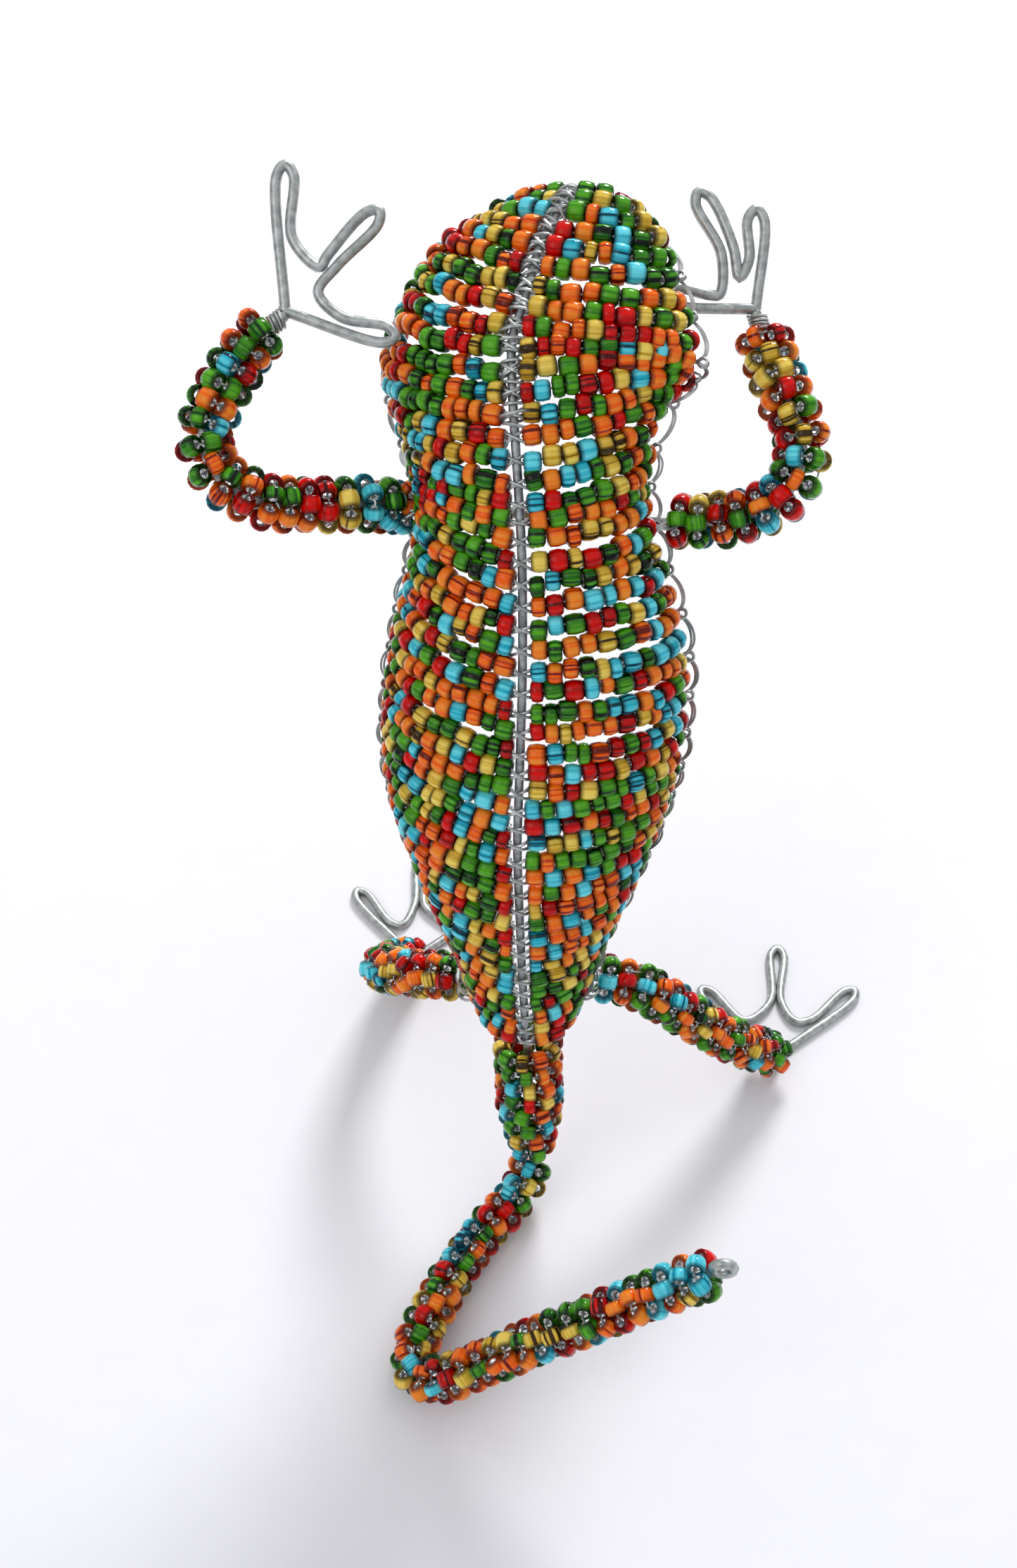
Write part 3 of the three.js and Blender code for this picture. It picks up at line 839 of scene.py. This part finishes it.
def toes_curve(foot, wrist, forward):
    """One wire bent into three hairpin toes, from the wrist and back to it."""
    sideways = Vector((1, 0, 0))

    def place(direction, distance, shift=0.0):
        angle = math.radians(direction)
        a = distance * math.cos(angle) - shift * math.sin(angle)
        b = distance * math.sin(angle) + shift * math.cos(angle)
        return wrist + sideways * a + forward * b

    toes, webs = foot
    points = [wrist.copy()]
    for i, (direction, length) in enumerate(toes):
        root = length * 0.5
        if i > 0:
            points.append(place(direction, root, TOE_ROOT))
        points.append(place(direction, length - 1.6, TOE_TIP))
        points.append(place(direction, length))
        points.append(place(direction, length - 1.6, -TOE_TIP))
        if i < len(toes) - 1:
            points.append(place(direction, root, -TOE_ROOT))
        if i < len(webs):
            points.append(place(*webs[i]))
    points.append(wrist.copy())
    return Curve(points, 900)


# %% Rings of beads round a wire
def side_of(curve, distance):
    """The direction along a curve, and two across it that turn as little as they can."""
    along = curve.along(0)
    across = along.orthogonal().normalized()
    steps = max(1, int(distance / 1.5))
    for i in range(1, steps + 1):
        following = curve.along(distance * i / steps)
        across.rotate(along.rotation_difference(following))
        along = following
    across = (across - along * across.dot(along)).normalized()
    return along, across, along.cross(across)


RING_LEAN = (0.1, 0.45)
RING_DRIFT = 0.15
RING_SINK = 0.2
RING_FILL = 0.9
CORNER_PULL = 0.97


def bead_rings(curve, start, end, sleeve):
    """Beads on a string wound round a wire, each (distance, middle, direction, length, colour)."""
    beads = []
    route = []
    count = max(1, round((end - start - BEAD * 0.8) / RING_PITCH))
    step = (end - start - BEAD) / count
    for ring in range(count + 1):
        distance = start + BEAD / 2 + step * ring
        radius = sleeve(distance) / 2 - BEAD / 2
        along, across, beside = side_of(curve, distance)
        per_turn = max(3, round(math.tau * radius / BEAD_ROOM))
        room = math.tau * radius / per_turn
        first = chance.uniform(0, math.tau)
        lean = chance.uniform(*RING_LEAN)
        middle = curve.place(distance)
        for i in range(per_turn):
            angle = first + math.tau * i / per_turn
            out = across * math.cos(angle) + beside * math.sin(angle)
            travel = beside * math.cos(angle) - across * math.sin(angle)
            drift = lean * math.cos(angle + ring) + chance.uniform(-RING_DRIFT, RING_DRIFT)
            place = middle + out * (radius + chance.uniform(-RING_SINK, 0.0)) + along * drift
            length = min(chance.uniform(*BEAD_LENGTHS), room * RING_FILL)
            beads.append((distance, place, jittered(travel), length, pick_colour()))
            corner = out * radius / math.cos(math.pi / per_turn) * CORNER_PULL
            corner.rotate(Matrix.Rotation(math.pi / per_turn, 3, along))
            route.append((distance, place))
            route.append((distance, middle + corner + along * drift))
    return beads, route


def split_beads(name, beads, route, zones):
    """Makes one piece of beads and one of string for each zone: (label, from, to, binder)."""
    made = []
    for label, low, high, bind in zones:
        mine = [b[1:] for b in beads if low <= b[0] < high]
        string = [p for d, p in route if low <= d < high]
        if not mine:
            continue
        piece = string_beads(f"{name}_{label}_strung", mine)
        thread = wire(f"{name}_{label}_string", [string], STRING_WIRE, fine_wire, 6)
        bind(piece)
        bind(thread)
        made.append(piece)
    return made


def riding(body):
    return lambda piece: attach(piece, body)


def blending(body_a, body_b, curve, low, high):
    start = (curve.place(low) - BOX_MIDDLE) * MM
    end = (curve.place(high) - BOX_MIDDLE) * MM
    return lambda piece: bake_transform(piece)


def bend_wire(name, curve, low, high, body_a, body_b):
    """The stretch of limb wire across a joint, a hair thinner than the wires it runs into."""
    route = route_along(curve, max(0, low), high, 0.4)
    piece = wire(name, [route], LIMB_WIRE * 0.98, limb_metal, 12)
    blending(body_a, body_b, curve, max(0, low), high)(piece)


# %% Bindings
BINDING_WIRE = 0.55
BINDING_TURNS = 4
BINDING_RADIUS = 1.35
BINDING_LEAN = 0.45
BINDING_STEPS = 14


def binding(name, curve, start, end):
    """Fine wire wound round a wrist or ankle."""
    turns, radius = BINDING_TURNS, BINDING_RADIUS
    points = []
    for i in range(turns * BINDING_STEPS + 1):
        share = i / (turns * BINDING_STEPS)
        distance = start + (end - start) * share
        along, across, beside = side_of(curve, distance)
        angle = math.tau * turns * share
        lean = BINDING_LEAN * math.cos(angle)
        points.append(curve.place(distance) + along * lean
                      + (across * math.cos(angle) + beside * math.sin(angle) * 0.85) * radius)
    return wire(name, [points], BINDING_WIRE, fine_wire, 8)


# %% The four legs
BEND_ZONE = HINGE_ROOM + 1.4
ROOT_ZONE = 3.4
ROOT_BLEND = (0.2, 4.4)
ROOT_CORE = 2.0
BEND_CORE = 2.4
WRIST_BARE = 3.2
for name, (side, pair, bend_place, path) in LEGS.items():
    hind = name.endswith("hind")
    upper, lower, paw = ("thigh", "shin", "foot") if hind else ("upper_arm", "forearm", "hand")
    joint = "ankle" if hind else "wrist"
    line = Curve([leg_root(pair, side)] + path)
    bend = line.nearest(Vector(bend_place))
    sleeve_end = line.length - WRIST_BARE
    upper_body, lower_body = f"{side}_{upper}", f"{side}_{lower}"

    beads, route = bead_rings(line, ROOT_BLEND[0], sleeve_end, lambda d: LEG_SLEEVE)
    zones = [
        ("root", -1, ROOT_ZONE, blending("body", upper_body, line, *ROOT_BLEND)),
        (upper, ROOT_ZONE, bend - BEND_ZONE, riding(upper_body)),
        ("bend", bend - BEND_ZONE, bend + BEND_ZONE,
         blending(upper_body, lower_body, line, bend - BEND_ZONE, bend + BEND_ZONE)),
        (lower, bend + BEND_ZONE, line.length, riding(lower_body)),
    ]
    _, upper_piece, _, lower_piece = split_beads(name, beads, route, zones)
    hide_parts(f"{side}_{upper}_beads")
    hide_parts(f"{side}_{lower}_beads")

    upper_wire = wire(f"{side}_{upper}_core", [route_along(line, WIRE_ROOM, bend - WIRE_ROOM)],
                      LIMB_WIRE, limb_metal, 12)
    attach(upper_wire, upper_body)
    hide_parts(f"{side}_{upper}_wire")
    bend_wire(f"{name}_root_core", line, 0.0, ROOT_CORE, "body", upper_body)
    bend_wire(f"{name}_bend_core", line, bend - BEND_CORE, bend + BEND_CORE, upper_body, lower_body)

    tilt = 0.0 if hind else HAND_TILT
    forward = Vector((0, math.cos(tilt), math.sin(tilt)))
    wrist = line.place(line.length) + forward * TOE_START
    toes = toes_curve(FEET[name], wrist, forward)
    leg_part = route_along(line, bend + WIRE_ROOM, line.length)
    paw_wire = wire(f"{side}_{paw}_loops", [leg_part, route_along(toes, 0, toes.length, 0.45)],
                    LIMB_WIRE, limb_metal, 14)
    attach(paw_wire, lower_body)
    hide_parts(f"{side}_{paw}_wire")

    tie = binding(f"{side}_{joint}_turns", line, sleeve_end + 0.3, line.length - 0.4)
    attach(tie, lower_body)
    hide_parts(f"{side}_{joint}_binding")
print("legs:", list(LEGS))


# %% [markdown]
# ## Where the legs join the body
# One wire passes under the back from leg to leg. Fine wire ties its ends to the edges of the beadwork
# in loose, uneven loops.

# %% Cross wires and ties
TIE_LOOPS = 3
TIE_STEPS = 20
TIE_TURNS = 1.05
TIE_WIDE, TIE_HIGH, TIE_GROWTH = 2.0, 3.0, 0.5


def cross_wire(name, pair, tie, zone):
    """The wire from leg to leg under the back, and the ties of its two ends."""
    ends = [leg_root(pair, "left"), leg_root(pair, "right")]
    middle = ends[0].lerp(ends[1], 0.5)
    whole = Curve([ends[0], middle, ends[1]])
    bar = wire(f"{zone}_bar", [route_along(whole, 0, whole.length, 2.0)], LIMB_WIRE, limb_metal, 12)
    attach(bar, "body")
    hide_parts(name)
    for label, side in SIDES.items():
        _, along, across, up, half, depth = body_frame(pair[label])
        root = leg_root(pair, label)
        rim = in_body(pair[label], side * half, depth + 0.4)
        routes = []
        for loop in range(TIE_LOOPS):
            middle = root.lerp(rim, 0.25 + 0.2 * loop)
            lean = (along * chance.uniform(0.5, 1.0) + across * side * chance.uniform(-0.6, 0.6))
            lean.normalize()
            other = lean.cross(up).normalized()
            points = []
            for i in range(TIE_STEPS + 1):
                angle = math.tau * TIE_TURNS * i / TIE_STEPS
                points.append(middle + other * math.cos(angle) * (TIE_WIDE + TIE_GROWTH * loop)
                              + up * math.sin(angle) * (TIE_HIGH + TIE_GROWTH * loop)
                              + lean * 0.25 * math.sin(angle * 2 + loop))
            routes.append(points)
        piece = wire(f"{label}_{tie}_loops", routes, LASH_WIRE, fine_wire, 8)
        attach(piece, "body")
        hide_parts(f"{label}_{tie}")


cross_wire("front_leg_crosswire", FRONT_LEGS, "shoulder_tie", "shoulder")
cross_wire("hind_leg_crosswire", HIND_LEGS, "hip_tie", "hip")

# %% [markdown]
# ## Tail
# The hip rows close round the back wire and taper into the tail, whose beads wind round a soft wire
# that lies on the table, turns, and rises to an eye at its tip.

# %% Tail
TAIL_AXIS = [(0.2, -8.8, 36.2), (1.2, -15.6, 11.4)]
TAIL_NECK = (1.2, -16.6, 8.6)
TAIL_BEND = (-18.7, -53.6, 4.4)
TAIL_PATH = [
    TAIL_NECK, (-1.2, -20.8, 5.0), (-7.1, -27.6, 4.25), (-11.9, -35.1, 4.2),
    (-16.6, -44.5, 4.2), (-19.0, -50.6, 4.2), (-18.4, -55.2, 4.9), (-15.0, -57.5, 7.2),
    (-5.6, -58.1, 15.8), (5.7, -58.1, 25.5), (16.5, -58.1, 34.8), (28.5, -58.9, 46.0),
]
TAIL_EYE = 1.55
EYE_TURNS = 1.08
EYE_STEPS = 26
TAPER_START, TAPER_LENGTH = 0.55, 0.45
NECK_ZONE = 3.4
NECK_BLEND = 4.4
NECK_CORE = 2.4
TURN_ZONE = 4.6
TURN_CORE = 2.6
TAIL_OVERLAP = 0.6

root_line = Curve(TAIL_AXIS)
root_length = root_line.length


def root_sleeve(distance):
    share = max(0.0, (distance / root_length - TAPER_START) / TAPER_LENGTH)
    return TAIL_ROOT + (TAIL_SLEEVE - TAIL_ROOT) * min(1.0, share)


beads, route = bead_rings(root_line, 0.0, root_length, root_sleeve)
tail_root, = split_beads("tail", beads, route, [("root", -1, root_length + 1, riding("body"))])
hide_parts("tail_root_beads")

tail_line = Curve(TAIL_PATH, 1200)
tail_bend = tail_line.nearest(Vector(TAIL_BEND))
whole = tail_line.length
beads, route = bead_rings(tail_line, -TAIL_OVERLAP, whole - LIMB_WIRE * 0.4, lambda d: TAIL_SLEEVE)
zones = [
    ("neck", -2, NECK_ZONE, blending("body", "tail_middle", tail_line, 0.0, NECK_BLEND)),
    ("middle", NECK_ZONE, tail_bend - TURN_ZONE, riding("tail_middle")),
    ("turn", tail_bend - TURN_ZONE, tail_bend + TURN_ZONE,
     blending("tail_middle", "tail_tip", tail_line, tail_bend - TURN_ZONE, tail_bend + TURN_ZONE)),
    ("tip", tail_bend + TURN_ZONE, whole + 1, riding("tail_tip")),
]
_, middle_part, _, tip_part = split_beads("tail", beads, route, zones)
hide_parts("tail_middle_beads")
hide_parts("tail_tip_beads")

middle_wire = wire("tail_middle_core", [route_along(tail_line, WIRE_ROOM, tail_bend - WIRE_ROOM)],
                   LIMB_WIRE, limb_metal, 12)
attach(middle_wire, "tail_middle")
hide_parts("tail_middle_wire")
bend_wire("tail_neck_core", tail_line, 0.0, NECK_CORE, "body", "tail_middle")
bend_wire("tail_turn_core", tail_line, tail_bend - TURN_CORE, tail_bend + TURN_CORE,
          "tail_middle", "tail_tip")

tip_end = tail_line.place(whole)
tip_way = tail_line.along(whole - 0.5)
eye_middle = tip_end + tip_way * TAIL_EYE * 0.9
eye_up = Vector((0, 1, 0)).cross(tip_way).normalized()
eye = []
for i in range(EYE_STEPS + 1):
    angle = math.pi + math.tau * EYE_TURNS * i / EYE_STEPS
    eye.append(eye_middle + tip_way * math.cos(angle) * TAIL_EYE + eye_up * math.sin(angle) * TAIL_EYE)
tip_wire = wire("tail_tip_core", [route_along(tail_line, tail_bend + WIRE_ROOM, whole), eye],
                LIMB_WIRE, limb_metal, 14)
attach(tip_wire, "tail_tip")
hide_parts("tail_tip_wire")
print("tail from neck to tip:", round(whole), "mm")

# %% [markdown]
# ## Finish
# The pattern bead is taken away and the faces shown are counted.

# %% The faces shown
bpy.data.objects.remove(bead)
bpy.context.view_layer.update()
faces = sum(len(o.data.polygons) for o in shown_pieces() if o.type == "MESH")
print("faces shown:", faces)
